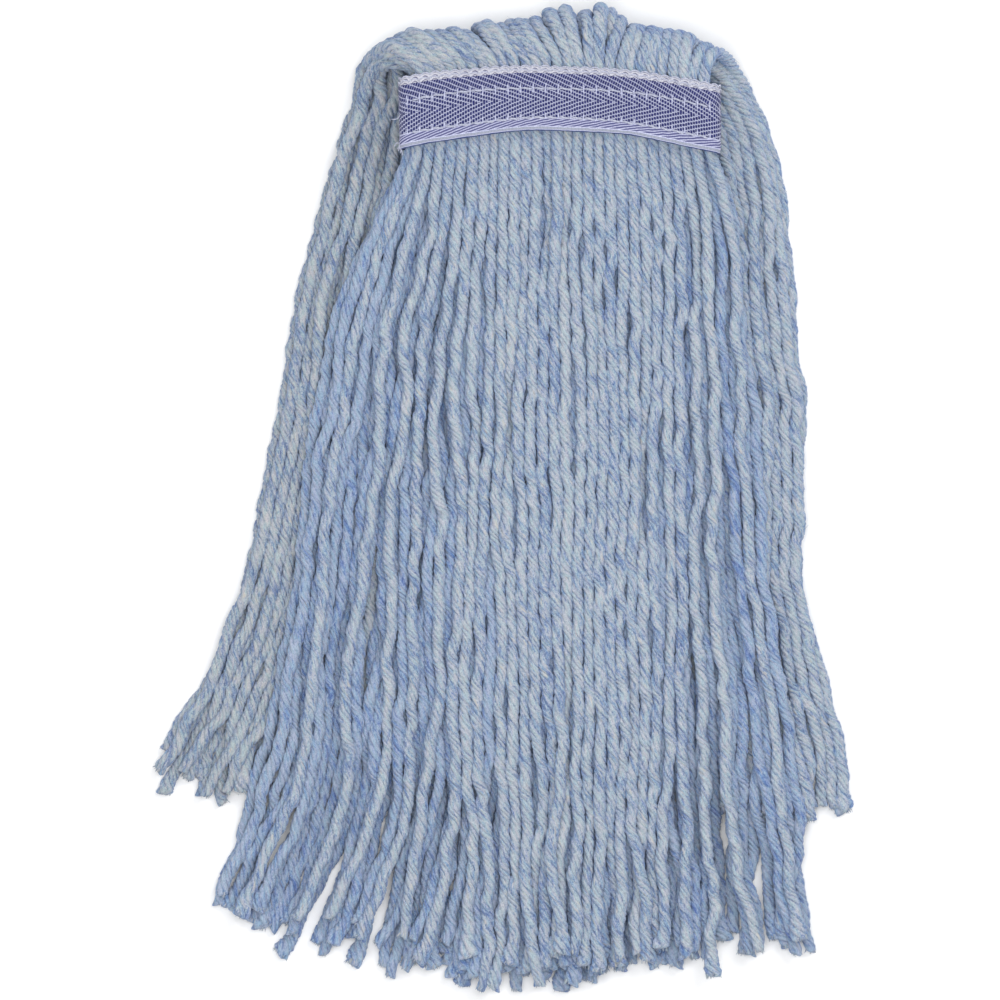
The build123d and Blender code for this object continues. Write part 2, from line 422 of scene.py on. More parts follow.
def rear_paths(rng, ys, front, rear, x, z):
    """Lines from inside the headband's upper edge, over the crown and down to the rear hem."""
    paths = []
    turn = np.linspace(0, math.pi, 19)
    pair = rear.row * COLUMNS + rear.column // 2
    calm = 1 - 0.7 * np.abs(2 * rear.share - 1) ** 3

    def scattered(in_pairs, alone):
        shift = rng.normal(0, in_pairs, rear.size)[pair] + rng.normal(0, alone, rear.size)
        return shift * calm

    swing = scattered(*CROWN_SWING)
    rise = scattered(*CROWN_RISE)
    lift = rng.uniform(0, CROWN_LIFT, rear.size)
    for i in range(rear.size):
        row = rear.row[i]
        share = rear.share[i]
        head_x = HEAD_HALF * (2 * share - 1)
        edge = band_middle(head_x) + TAPE_HEIGHT / 2
        column = front.size + i
        line_x = np.interp(-edge, -ys, x[:, column])
        lean = np.interp(share, LEAN_SHARE, LEAN) + swing[i]
        top_x = (head_x + line_x) / 2 + lean
        top = np.interp(top_x, CROWN_X, CROWN_TOP) - YARN_RADIUS + rise[i]
        centre = min(edge + 3 * MM, top - 7 * MM)
        # The outer strands turn sideways into the wings, in longer arcs
        drop = WING_DROP * smoothstep(0.34, 0.5, abs(share - 0.5))
        reach = (top - centre) * CROWN_NEST[row]
        rear_line = half_line(ys, x[:, column], z[:, column], centre - drop, rear.end[i])
        start, end = head_height(row), rear_line[0, 2]
        arc_z = (start + end) / 2 + (start - end) / 2 * np.cos(turn)
        arc_z += lift[i] * (row == 0) * np.sin(turn) ** 2
        arc_y = centre + (reach + drop / 4) * np.sin(turn) - drop * (turn / math.pi) ** 2
        arc_x = head_x + (rear_line[0, 0] - head_x) * turn / math.pi + lean * np.sin(turn)
        arc = np.stack([arc_x, arc_y, arc_z], axis=1)
        root = np.array([[head_x, edge - ROOT_IN_BAND, start]])
        lead = root if centre > edge - 4 * MM else root[:0]
        paths.append(np.vstack([lead, arc, rear_line[1:]]))
    return paths


# ---- Meshes ----


def new_object(name, data, place=(0, 0, 0)):
    obj = bpy.data.objects.new(name, data)
    obj.location = place
    bpy.context.scene.collection.objects.link(obj)
    return obj


def new_piece(name, points, quads, triangles, looks, material):
    """A smooth-shaded mesh object, with the numbers and vectors that its material reads."""
    mesh = bpy.data.meshes.new(name)
    mesh.vertices.add(len(points))
    mesh.vertices.foreach_set("co", points.astype(np.float32).ravel())
    loops = np.r_[quads.ravel(), triangles.ravel()].astype(np.int32)
    mesh.loops.add(len(loops))
    mesh.loops.foreach_set("vertex_index", loops)
    sizes = np.r_[np.full(len(quads), 4), np.full(len(triangles), 3)]
    mesh.polygons.add(len(sizes))
    mesh.polygons.foreach_set("loop_start", np.r_[0, np.cumsum(sizes)[:-1]].astype(np.int32))
    mesh.update(calc_edges=True)
    mesh.shade_smooth()
    for key, rows in looks.items():
        kind, field = ("FLOAT", "value") if rows.ndim == 1 else ("FLOAT_VECTOR", "vector")
        layer = mesh.attributes.new(key, kind, "POINT")
        layer.data.foreach_set(field, rows.astype(np.float32).ravel())
    mesh.materials.append(material)
    return new_object(name, mesh)


class Strands:
    """Collects tubes that become one piece."""

    def __init__(self):
        self.points = []
        self.quads = []
        self.triangles = []
        self.fibre = []  # each point's place in the yarn's own coordinates
        # deep is the share of painted shade at each point, groove marks the shaded grooves between
        # plies
        self.values = {"tone": [], "seed": [], "deep": [], "groove": [], "greyer": []}
        self.count = 0

    def add(self, points, quads, triangles, fibre, **values):
        self.points.append(points)
        self.quads.append(quads + self.count)
        self.triangles.append(triangles + self.count)
        self.fibre.append(fibre)
        for key, number in values.items():
            self.values[key].append(np.full(len(points), number))
        self.count += len(points)

    def build(self, name, material):
        shape = [np.vstack(rows) for rows in (self.points, self.quads, self.triangles)]
        looks = {key: np.concatenate(rows) for key, rows in self.values.items()}
        return new_piece(name, *shape, {"fibre": np.vstack(self.fibre), **looks}, material)


def tube_faces(rows, around):
    """Quads along a tube, and the fans that close its far and near end at two extra points."""
    k, j = np.meshgrid(np.arange(rows - 1), np.arange(around), indexing="ij")
    a = k * around + j
    b = k * around + (j + 1) % around
    quads = np.stack([a, b, b + around, a + around], axis=-1).reshape(-1, 4)
    ring = np.arange(around)
    after = (ring + 1) % around
    last = (rows - 1) * around
    far = np.stack([last + ring, last + after, np.full(around, rows * around)], axis=1)
    near = np.stack([after, ring, np.full(around, rows * around + 1)], axis=1)
    return quads, np.vstack([far, near])


def rings_about(path, side, up, across, upward):
    """Rings of points round a path, each point across it and above it by the given amounts."""
    return path[:, None] + across[..., None] * side[:, None] + upward[..., None] * up[:, None]


def fibre_vectors(radius, angle, along):
    """Where a tube's points lie in the yarn's own coordinates, its two end points last."""
    ring = np.broadcast_arrays(radius * np.cos(angle), radius * np.sin(angle), along[:, None])
    return np.vstack([np.stack(ring, axis=-1).reshape(-1, 3), [[0, 0, along[-1]], [0, 0, 0]]])


def strand_frame(path):
    """Tangent and two normals at each point; every strand runs more or less across X."""
    tangent = unit(np.gradient(path, axis=0))
    side = unit(np.array([1.0, 0, 0]) - tangent * tangent[:, :1])
    return tangent, side, np.cross(tangent, side)


def twist(rng, along):
    """The angles of the points round the strand, how far each ring is turned, and the pitch."""
    angle = EVEN + 0.28 * np.sin(EVEN + rng.uniform(0, 6.28))  # no two plies are equally broad
    pitch = TWIST_PITCH * rng.uniform(0.88, 1.12)
    swing = 0.25 * np.sin(TURN * along / (31 * MM) + rng.uniform(0, 6))
    swing += 0.16 * np.sin(TURN * along / (12 * MM) + rng.uniform(0, 6))
    return angle, rng.uniform(0, TURN) - TURN * along / pitch + swing, pitch


def thickness(rng, along, fuller):
    """Each ring's radius, the radius at each of its points, and how flat the ring is pressed."""
    to_end = along[-1] - along
    # Each ply swells and thins by itself, and the plies part at the cut end
    lobe = np.abs(np.sin(0.5 * PLIES * EVEN)) ** 0.7
    ply_phase = rng.uniform(0, 6.28, PLIES)[PLY]
    swell = 0.05 * np.sin(along[:, None] / (2.1 * MM) + ply_phase)
    swell += 0.05 * np.sin(along[:, None] / (5.3 * MM) + 2.3 * ply_phase)
    flare = rng.choice([rng.uniform(-0.2, 0.2), rng.uniform(0.3, 0.55)])
    radius = YARN_RADIUS * (1 + 0.05 * np.sin(along / (9 * MM) + rng.uniform(0, 6)))
    radius *= 1 + rng.uniform(-0.05, 0.04) + flare * smoothstep(15 * MM, 1 * MM, to_end) ** 1.5
    radius *= 1 + fuller * smoothstep(6 * MM, 25 * MM, along) * smoothstep(90 * MM, 45 * MM, along)
    depth = PLY_DEPTH * (1 + 1.1 * flare * smoothstep(12 * MM, 2 * MM, to_end))
    shape = radius[:, None] * (1 + swell) * (1 - depth[:, None] * (1 - lobe))
    # Between the tape's two panels the strands are pressed flat
    press = FLAT - 0.12 * smoothstep(16 * MM, 4 * MM, along)
    press *= 1 - 0.4 * max(flare, 0) * smoothstep(14 * MM, 2 * MM, to_end)
    return radius, shape, press


def add_strand(parts, rng, path, under_shade, fuller=0.0, greyer=0.0):
    """A plied yarn along path: twisted lobes, uneven in thickness, with a frayed cut end."""
    tangent, side, up = strand_frame(path)
    along = distances(path)
    angle, turned, pitch = twist(rng, along)
    radius, shape, press = thickness(rng, along, fuller)
    facing = angle + turned[:, None]
    across = BROAD * shape * np.cos(facing)
    points = rings_about(path, side, up, across, shape * np.sin(facing) * press[:, None])
    # The cut is a little oblique and ragged, and closes in a few short rings
    ragged = rng.uniform(-0.7, 0.7) * across + rng.uniform(-0.5, 0.9, PLIES)[PLY] * 1.2 * MM
    near_end = smoothstep(7 * MM, 0, along[-1] - along)
    points += (ragged * near_end[:, None])[..., None] * tangent[:, None]
    caps = [
        path[-1] + step * tangent[-1] + (points[-1] - path[-1]) * shrink
        for step, shrink in zip(CUT_STEPS, CUT_SHRINKS)
    ]
    grid = np.concatenate([points, np.stack(caps)])
    tip = path[-1] + CUT_STEPS[-1] * tangent[-1]
    root = path[0] - 0.5 * MM * tangent[0]
    ends = np.r_[along, along[-1] + CUT_STEPS]
    fibre_angle = angle - FIBRE_TURN * TURN * ends[:, None] / pitch
    fibre = fibre_vectors(YARN_RADIUS, fibre_angle, ends)
    # The grooves between the plies, where the material paints shade
    in_groove = (np.arange(AROUND) % PLY_POINTS == 0).astype(float)
    groove = np.r_[np.tile(in_groove, len(grid)), 0, 0]
    quads, triangles = tube_faces(len(grid), AROUND)
    # Painted shade: a strand's sides, which face its neighbours, are painted bluer and darker
    # than its top, and a strand under the top row gets at least the given share of that shade
    centre = np.vstack([path, np.repeat(path[-1:], len(caps), axis=0)])
    outward = grid - centre[:, None]
    steep = np.abs(outward[..., 2]) / (np.linalg.norm(outward, axis=2) + 1e-9)
    deep = np.maximum(np.r_[1 - smoothstep(0.1, 0.8, steep).ravel(), 0, 0], under_shade)
    tone, seed = rng.uniform(), rng.uniform(0, 9)
    ply_tone = np.r_[np.tile(tone + rng.normal(0, 0.45, PLIES)[PLY], len(grid)), tone, tone]
    look = {"tone": tone, "seed": seed, "greyer": greyer}
    every = np.vstack([grid.reshape(-1, 3), tip, root])
    parts.add(every, quads, triangles, fibre, seed=seed, greyer=greyer,
              deep=deep, groove=groove, tone=ply_tone)
    add_frayed_end(parts, rng, path[-1], tangent[-1], radius[-1], fibre[-2], look)
    add_fuzz(parts, rng, path, points, tangent, fibre, look)


def add_frayed_end(parts, rng, centre, tangent, radius, fibre, look):
    """Short loose fibres that stand out of a cut end."""
    count = 18
    spread = rng.normal(0, 1, (count, 3))
    spread = unit(spread - (spread @ tangent)[:, None] * tangent)
    root = centre + spread * radius * rng.uniform(0.2, 0.85, (count, 1))
    heading = tangent + spread * rng.uniform(0.0, 0.55, (count, 1))
    heading = heading + rng.normal(0, 0.12, (count, 3))
    reach = rng.uniform(0.9, 2.6, (count, 1)) * MM
    thick = rng.uniform(0.2, 0.45, (count, 1)) * MM
    places = np.repeat(fibre[None], count, axis=0)
    places[:, :2] = rng.uniform(-1, 1, (count, 2)) * radius
    add_fibres(parts, rng, root, heading, reach, thick, places, look)


def add_fuzz(parts, rng, path, surface, tangent, fibre, look):
    """Fine fibres that stand off the strand's surface along its length."""
    count = int(len(path) * FUZZ_PER_RING)
    k = rng.integers(4, len(path) - 2, count)
    j = rng.integers(0, AROUND, count)
    outward = unit(surface[k, j] - path[k])
    root = surface[k, j] - 0.3 * MM * outward
    way = rng.choice([-1.0, 1.0], (count, 1))
    heading = way * tangent[k] + outward * rng.uniform(0.15, 0.6, (count, 1))
    heading += rng.normal(0, 0.25, (count, 3))
    standing = (heading * outward).sum(axis=1, keepdims=True)
    heading -= outward * np.maximum(standing - 0.45, 0)
    reach = rng.uniform(1.2, 3.0, (count, 1)) * MM
    thick = rng.uniform(0.06, 0.13, (count, 1)) * MM
    add_fibres(parts, rng, root, heading, reach, thick, fibre[k * AROUND + j], look)


def add_fibres(parts, rng, root, heading, reach, thick, places, look):
    """Single loose fibres, each a thin three-sided taper that bends a little."""
    count = len(root)
    heading = unit(heading)
    bend = np.cross(heading, rng.normal(0, 1, (count, 3)))
    side = unit(np.cross(heading, [0.3, 0.2, 1.0]))
    other = np.cross(heading, side)
    rings = []
    for at, size in ((-0.3, 1.0), (0.45, 0.85), (1.0, 0.35)):
        middle = root + heading * reach * at + bend * reach * 0.12 * at * abs(at)
        turns = [0, TURN / 3, TURN * 2 / 3]
        ring = [middle + thick * size * (side * math.cos(a) + other * math.sin(a)) for a in turns]
        rings.append(np.stack(ring, axis=1))
    points = np.stack(rings, axis=1)
    points[..., 2] = np.maximum(points[..., 2], FLOOR_Z)
    base = (np.arange(count) * 9)[:, None, None]
    quads = (base + tube_faces(3, 3)[0]).reshape(-1, 4)
    caps = (base + np.array([[2, 1, 0], [6, 7, 8]])).reshape(-1, 3)
    fibre = np.repeat(places, 9, axis=0)
    parts.add(points.reshape(-1, 3), quads, caps, fibre, deep=0.0, groove=0.0, **look)


# ---- Headband ----


def tape_ring(inset):
    """The strip's line seen along Y: distance along it, then u, z and its outward direction.

    It starts behind, goes round the left end, across the front and round the right end, and
    laps over its own start. inset is the depth below its outside.
    """
    straight = BAND_HALF - FOLD_ROUND
    radius = FOLD_ROUND - inset
    low = BAND_BACK_Z + FOLD_ROUND
    high = TAPE_Z - FOLD_ROUND
    quarter = math.pi / 2 * np.linspace(0, 1, 9)[1:-1]

    def level(start, end, z, outward, count):
        u = np.linspace(start, end, count)
        return np.stack([u, 0 * u + z, 0 * u, 0 * u + outward], 1)

    def corner(u, z, start):
        facing = start - quarter
        out_u, out_z = np.cos(facing), np.sin(facing)
        return np.stack([u + radius * out_u, z + radius * out_z, out_u, out_z], 1)

    def upright(outward, start, end):
        z = np.linspace(start, end, 12)
        side = outward * (straight + radius)
        return np.stack([0 * z + side, z, 0 * z + outward, 0 * z], 1)

    lapped = level(straight, -SEAM_LAP, BAND_BACK_Z + inset, -1, 101)
    over = smoothstep(SEAM_LAP + 5 * MM, SEAM_LAP - 1 * MM, lapped[:, 0])
    lapped[:, 1] -= 1.3 * MM * over
    ring = np.vstack([
        level(SEAM_LAP, -straight, BAND_BACK_Z + inset, -1, 101),
        corner(-straight, low, -math.pi / 2),
        upright(-1, low, high),
        corner(-straight, high, math.pi),
        level(-straight, straight, TAPE_Z - inset, 1, 185),
        corner(straight, high, math.pi / 2),
        upright(1, high, low),
        corner(straight, low, 0),
        lapped,
    ])
    return distances(ring[:, :2]), ring


def tape_relief(t, v):
    """How far the tape's outside stands off its flat place: stitches pull it in, edges curl."""
    relief = 0.22 * MM * np.sin(t / (9.1 * MM)) * np.sin(v / (8 * MM) + t / (31 * MM))
    relief += 0.10 * MM * np.sin(t / (2.9 * MM) + 1.3) * np.cos(v / (4.1 * MM))
    for row in (UPPER_STITCHES, LOWER_STITCHES):
        pull = 0.6 + 0.4 * np.cos(TURN * t / STITCH_PITCH)
        relief -= 0.5 * MM * pull * np.exp(-(((v - row) / (1.1 * MM)) ** 2))
    relief -= 0.7 * MM * smoothstep(11.5 * MM, 16 * MM, np.abs(v))
    hem_wave = 0.5 + 0.5 * np.sin(t / (6.7 * MM) + 0.7)
    return relief + 0.6 * MM * hem_wave * smoothstep(-11 * MM, -16 * MM, v)


def tape_point(t, u, z, out_u, out_z, v, lift=0.0):
    """A point on the tape's outside, lift above it."""
    narrow = 0.92 + 0.10 * smoothstep(0, -BAND_HALF, u) + 0.06 * smoothstep(0.3, 1, u / BAND_HALF)
    off = tape_relief(t, v) + lift
    wave = 0.25 * MM * np.sin(t / (7.7 * MM)) * np.abs(v) / (16 * MM)
    return band_place(u + out_u * off, v * narrow + wave, z + out_z * off)


def make_tape(material):
    """One woven strip round the gathered yarn, with its thickness and both edges."""
    v = np.linspace(-TAPE_HEIGHT / 2, TAPE_HEIGHT / 2, 57)
    skins = []
    for inset in (0, TAPE_THICKNESS):
        t, ring = tape_ring(inset)
        outer_t = tape_ring(0)[0]
        columns = [ring[:, c][:, None] for c in range(4)]
        skins.append(tape_point(outer_t[:, None], *columns, v))
    along, tall = skins[0].shape[:2]
    shift = along * tall
    k, j = np.meshgrid(np.arange(along - 1), np.arange(tall - 1), indexing="ij")
    a = k * tall + j
    outside = np.stack([a, a + tall, a + tall + 1, a + 1], axis=-1).reshape(-1, 4)
    inside = outside[:, ::-1] + shift

    def rim(edge):
        """The faces between the two skins along an edge, given by its point numbers."""
        return np.stack([edge[:-1], edge[1:], edge[1:] + shift, edge[:-1] + shift], axis=1)

    low = np.arange(along) * tall
    start = np.arange(tall)
    rims = [rim(low[::-1]), rim(low + tall - 1), rim(start), rim((start + low[-1])[::-1])]
    quads = np.vstack([outside, inside, *rims])
    weave = np.zeros((along, tall, 3))
    weave[..., 0] = outer_t[:, None]
    weave[..., 1] = v
    weave = np.vstack([weave.reshape(-1, 3)] * 2)
    points = np.vstack([skin.reshape(-1, 3) for skin in skins])
    empty = np.zeros((0, 3), int)
    piece = new_piece("tape", points, quads, empty, {"weave": weave}, material)
    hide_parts("headband_tape")
    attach(piece, "headband")


def thread_tube(parts, line, radius, rng, around=8):
    """A thin two-ply thread along line."""
    tangent = unit(np.gradient(line, axis=0))
    up = np.array([0.0, 0.0, 1.0]) - tangent * tangent[:, 2:3]
    weak = np.linalg.norm(up, axis=1) < 0.2
    up[weak] = np.array([0.0, 1.0, 0.0]) - tangent[weak] * tangent[weak, 1:2]
    up = unit(up)
    side = np.cross(tangent, up)
    along = distances(line)
    angle = TURN * np.arange(around) / around
    facing = angle - TURN * along[:, None] / (2.4 * MM) + rng.uniform(0, 6)
    size = radius * (1 - 0.2 * (1 - np.abs(np.cos(angle))))
    grid = rings_about(line, side, up, size * np.cos(facing), size * np.sin(facing))
    fibre = fibre_vectors(radius, angle, along)
    quads, triangles = tube_faces(len(line), around)
    points = np.vstack([grid.reshape(-1, 3), line[-1:], line[:1]])
    parts.add(points, quads, triangles, fibre, tone=rng.uniform(), seed=rng.uniform(0, 9),
              deep=0.0, groove=0.0, greyer=0.0)


def along_tape(t_values, v_values, lifts):
    """Points lying on the tape's outside, at the given distances along its line."""
    t, ring = tape_ring(0)
    columns = [np.interp(t_values, t, ring[:, c]) for c in range(4)]
    return tape_point(t_values, *columns, v_values, lifts)


def place_thread_piece(parts, name, material):
    """A piece of sewing thread, which stays with the headband."""
    piece = parts.build(name, material)
    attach(piece, "headband")
    return piece


def make_stitching(material):
    """Two rows of lockstitch: needle thread in front, bobbin thread behind."""
    rng = np.random.default_rng(23)
    t, ring = tape_ring(0)
    margin = 1.5 * MM
    front = t[ring[:, 3] > 0.99]
    behind = t[ring[:, 3] < -0.99]
    first, last = behind[behind < t[-1] / 2], behind[behind > t[-1] / 2]
    spans = {
        "front": [(front[0] + margin, front[-1] - margin)],
        "back": [(first[0] + 2 * SEAM_LAP, first[-1] - margin), (last[0] + margin, last[-1])],
    }
    for row, height in (("upper", UPPER_STITCHES), ("lower", LOWER_STITCHES)):
        for face, stretches in spans.items():
            parts = Strands()
            for start, end in stretches:
                at = np.arange(start, end, 0.5 * MM)
                arch = np.abs(np.sin(math.pi * at / STITCH_PITCH)) ** 0.7
                drift = 0.3 * MM * np.sin(at / (13 * MM) + rng.uniform(0, 6))
                drift += 0.25 * MM * np.sin(TURN * at / STITCH_PITCH)
                line = along_tape(at, height + drift, (arch - 0.62) * MM)
                thread_tube(parts, line, 0.5 * MM, rng)
            piece = place_thread_piece(parts, f"{row}_stitching_{face}", material)
            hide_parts(f"{row}_stitches_{face}")


def make_edge_loops(material):
    """Two rows of picot loops that scallop the tape's upper selvage."""
    rng = np.random.default_rng(29)
    t, ring = tape_ring(0)
    parts = Strands()
    for base, shift in ((14.9 * MM, 0), (13.0 * MM, 0.5 * MM)):
        at = np.arange(0, t[-1], 0.33 * MM)
        beat = np.abs(np.sin(math.pi * (at + shift) / LOOP_PITCH))
        uneven = 0.12 * MM * np.sin(at / (3.7 * MM) + base * 900)
        line = along_tape(at, base + 1.5 * MM * beat ** 0.55 + uneven, (0.2 + 0.3 * beat) * MM)
        thread_tube(parts, line, 0.33 * MM, rng)
    place_thread_piece(parts, "selvage_loops", material)


def make_loose_threads(material):
    """The frayed threads at the tape's left end."""
    rng = np.random.default_rng(31)
    parts = Strands()
    left = -(BAND_HALF - 0.5 * MM)
    starts = [(-0.5, (-4.2, -1.8, -1.5))]
    starts += [(-13.5 - 0.5 * i, (-2.4 + 0.9 * i, -1.5 - 0.5 * i, -1.2)) for i in range(5)]
    for height, (dx, dy, dz) in starts:
        root = band_place(left, 0.99 * height * MM, TAPE_Z - 3.5 * MM)
        share = np.linspace(0, 1, 12)[:, None]
        bend = rng.uniform(-0.8, 0.8, 3) * MM
        line = root + share * np.array([dx, dy, dz]) * MM + np.sin(math.pi * share) * bend
        thread_tube(parts, line, rng.uniform(0.16, 0.3) * MM, rng, around=6)
    place_thread_piece(parts, "loose_threads", material)


# ---- Materials ----


class Nodes:
    """A short way to write a material's node tree."""

    def __init__(self, name):
        self.material = bpy.data.materials.new(name)
        self.material.use_nodes = True
        self.tree = self.material.node_tree
        self.shader = self.tree.nodes["Principled BSDF"]

    def feed(self, node, inputs):
        """Links each of the inputs to a socket, or sets it to a constant."""
        for key, value in inputs.items():
            if isinstance(value, bpy.types.NodeSocket):
                self.tree.links.new(value, node.inputs[key])
            else:
                node.inputs[key].default_value = value

    def add(self, kind, inputs, **settings):
        node = self.tree.nodes.new(kind)
        for key, value in settings.items():
            setattr(node, key, value)
        self.feed(node, inputs)
        return node

    def finish(self, inputs):
        """The material, with these values on its shader."""
        self.feed(self.shader, inputs)
        return self.material

    def attribute(self, name):
        return self.add("ShaderNodeAttribute", {}, attribute_name=name).outputs

    def value(self, name):
        return self.attribute(name)["Fac"]

    def math(self, operation, *values):
        return self.add("ShaderNodeMath", dict(enumerate(values)), operation=operation).outputs[0]

    def vector(self, operation, a, b):
        return self.add("ShaderNodeVectorMath", {0: a, 1: b}, operation=operation).outputs[0]

    def chain(self, operation, *values):
        """The operation on the first two values, then on its result and the next, and so on."""
        total = values[0]
        for value in values[1:]:
            total = self.math(operation, total, value)
        return total

    def product(self, *values):
        return self.chain("MULTIPLY", *values)

    def weighted(self, *terms):
        """The sum of the values, each times its weight."""
        return self.chain("ADD", *[self.product(value, weight) for value, weight in terms])

    def mix(self, factor, a, b, blend="MIX"):
        inputs = {0: factor}
        for key, value in ((6, a), (7, b)):
            inputs[key] = (*value, 1) if isinstance(value, tuple) else value
        return self.add("ShaderNodeMix", inputs, data_type="RGBA", blend_type=blend).outputs[2]

    def ramp(self, value, *stops):
        node = self.add("ShaderNodeValToRGB", {"Fac": value})
        elements = node.color_ramp.elements
        while len(elements) < len(stops):
            elements.new(0.5)
        for element, (at, colour) in zip(elements, stops):
            element.position = at
            element.color = (*colour, 1)
        return node.outputs["Color"]

    def ramp_value(self, value, low, high):
        """0 at low, 1 at high, and straight between."""
        return self.add("ShaderNodeMapRange", {0: value, 1: low, 2: high}).outputs[0]

    def beat(self, value, period, shift=0.0):
        """How far the value has come in its period, from 0 to 1."""
        return self.math("FRACT", self.math("ADD", self.math("DIVIDE", value, period), shift))

    def between(self, value, low, high, soft=0.12):
        """1 from low to high, and 0 outside, with soft edges."""
        up = self.ramp_value(value, low - soft, low + soft)
        down = self.ramp_value(value, high - soft, high + soft)
        return self.product(up, self.math("SUBTRACT", 1.0, down))

    def bump(self, height, strength, distance):
        inputs = {"Height": height, "Strength": strength, "Distance": distance}
        return self.add("ShaderNodeBump", inputs).outputs[0]

    def noise(self, vector, scale, detail=2.0, roughness=0.5):
        settings = {"Vector": vector, "Scale": scale, "Detail": detail, "Roughness": roughness}
        return self.add("ShaderNodeTexNoise", settings).outputs["Fac"]


def fibre_noise(n):
    """Makes noise in the yarn's own coordinates, which differ for every strand."""
    seed = n.value("seed")
    shift = n.add("ShaderNodeCombineXYZ", {0: seed, 1: n.product(seed, 0.37), 2: 0.0})
    place = n.vector("ADD", n.attribute("fibre")["Vector"], shift.outputs[0])

    def noise(along, scale, detail=2.0, roughness=0.6):
        return n.noise(n.vector("MULTIPLY", place, (1, 1, along)), scale, detail, roughness)

    return noise


def yarn_material():
    """Plied cotton blend: pale blue, lilac and cream fibres, with painted shade between the plies.
    """
    n = Nodes("mop_yarn")
    noise = fibre_noise(n)
    tone = n.value("tone")
    grooves = n.math("POWER", n.value("groove"), 1.6)
    dash = noise(0.36, 1200)
    fleck = noise(0.55, 2400, 2.0, 0.7)
    blend = noise(0.25, 420)
    hue = noise(0.35, 800, 1.0, 0.5)
    patch = noise(0.5, 130, 2.0, 0.5)
    base = n.ramp(
        n.weighted((dash, 0.27), (blend, 0.34), (fleck, 0.24), (patch, 0.17), (tone, 0.04)),
        (0.385, (0.095, 0.155, 0.330)),
        (0.465, (0.210, 0.285, 0.425)),
        (0.525, (0.338, 0.395, 0.466)),
        (0.585, (0.372, 0.421, 0.472)),
        (0.675, (0.418, 0.452, 0.487)),
    )
    tint = n.ramp(hue, (0.36, (0.92, 1.02, 1.02)), (0.5, (1, 1, 1)), (0.64, (1.06, 0.99, 1.02)))
    speck = n.ramp(fleck, (0.34, (0.74, 0.76, 0.79)), (0.5, (1, 1, 1)), (0.66, (1.2, 1.18, 1.15)))
    colour = n.mix(1.0, n.mix(1.0, base, tint, "MULTIPLY"), speck, "MULTIPLY")
    cream = noise(0.3, 650, 1.0, 0.5)
    colour = n.mix(n.product(n.ramp_value(cream, 0.66, 0.74), 0.5), colour, (0.55, 0.50, 0.42))
    # Painted shade: the grooves between the plies are darkened to deep blue, broken up by noise
    part = n.product(n.ramp_value(dash, 0.64, 0.40), n.ramp_value(blend, 0.66, 0.44))
    shaded_grooves = n.product(grooves, 0.75, part)
    colour = n.mix(shaded_grooves, colour, (0.062, 0.100, 0.225))
    # Painted shade: where deep is high, on strands' sides and under the top row, darker and bluer
    shaded = n.mix(1.0, colour, (0.46, 0.66, 1.02), "MULTIPLY")
    colour = n.mix(n.product(n.value("deep"), 0.85), colour, shaded)
    grey = n.mix(1.0, colour, (0.985, 0.955, 0.905), "MULTIPLY")
    colour = n.mix(n.value("greyer"), colour, grey)
    rough = n.weighted((dash, 0.6), (fleck, 0.5), (shaded_grooves, -0.6))
    return n.finish({
        "Base Color": colour,
        "Normal": n.bump(rough, 0.9, 0.0007),
        "Roughness": n.math("ADD", n.product(dash, 0.15), 0.82),
        "Sheen Weight": 0.35,
        "Sheen Roughness": 0.6,
        "Specular IOR Level": 0.12,
    })


def thread_material():
    """White sewing thread, a little grey between its two plies."""
    n = Nodes("stitch_thread")
    streak = fibre_noise(n)(0.2, 3500)
    return n.finish({
        "Base Color": n.ramp(streak, (0.34, (0.24, 0.26, 0.38)), (0.58, (0.52, 0.54, 0.66))),
        "Normal": n.bump(streak, 0.5, 0.0002),
        "Roughness": n.math("ADD", n.product(streak, 0.2), 0.6),
        "Sheen Weight": 0.2,
    })


def tape_place(n):
    """Where a point lies on the tape, a little unevenly, and its two parts in millimetres."""
    weave = n.attribute("weave")["Vector"]
    wobble = n.add("ShaderNodeTexNoise", {"Vector": weave, "Scale": 260.0, "Detail": 1.0})
    drift = n.vector("SUBTRACT", wobble.outputs["Color"], (0.5, 0.5, 0.5))
    weave = n.vector("ADD", weave, n.vector("MULTIPLY", drift, (0.0006, 0.0007, 0)))
    axes = n.add("ShaderNodeSeparateXYZ", {0: weave}).outputs
    return weave, n.product(axes[0], 1 / MM), n.product(axes[1], 1 / MM)


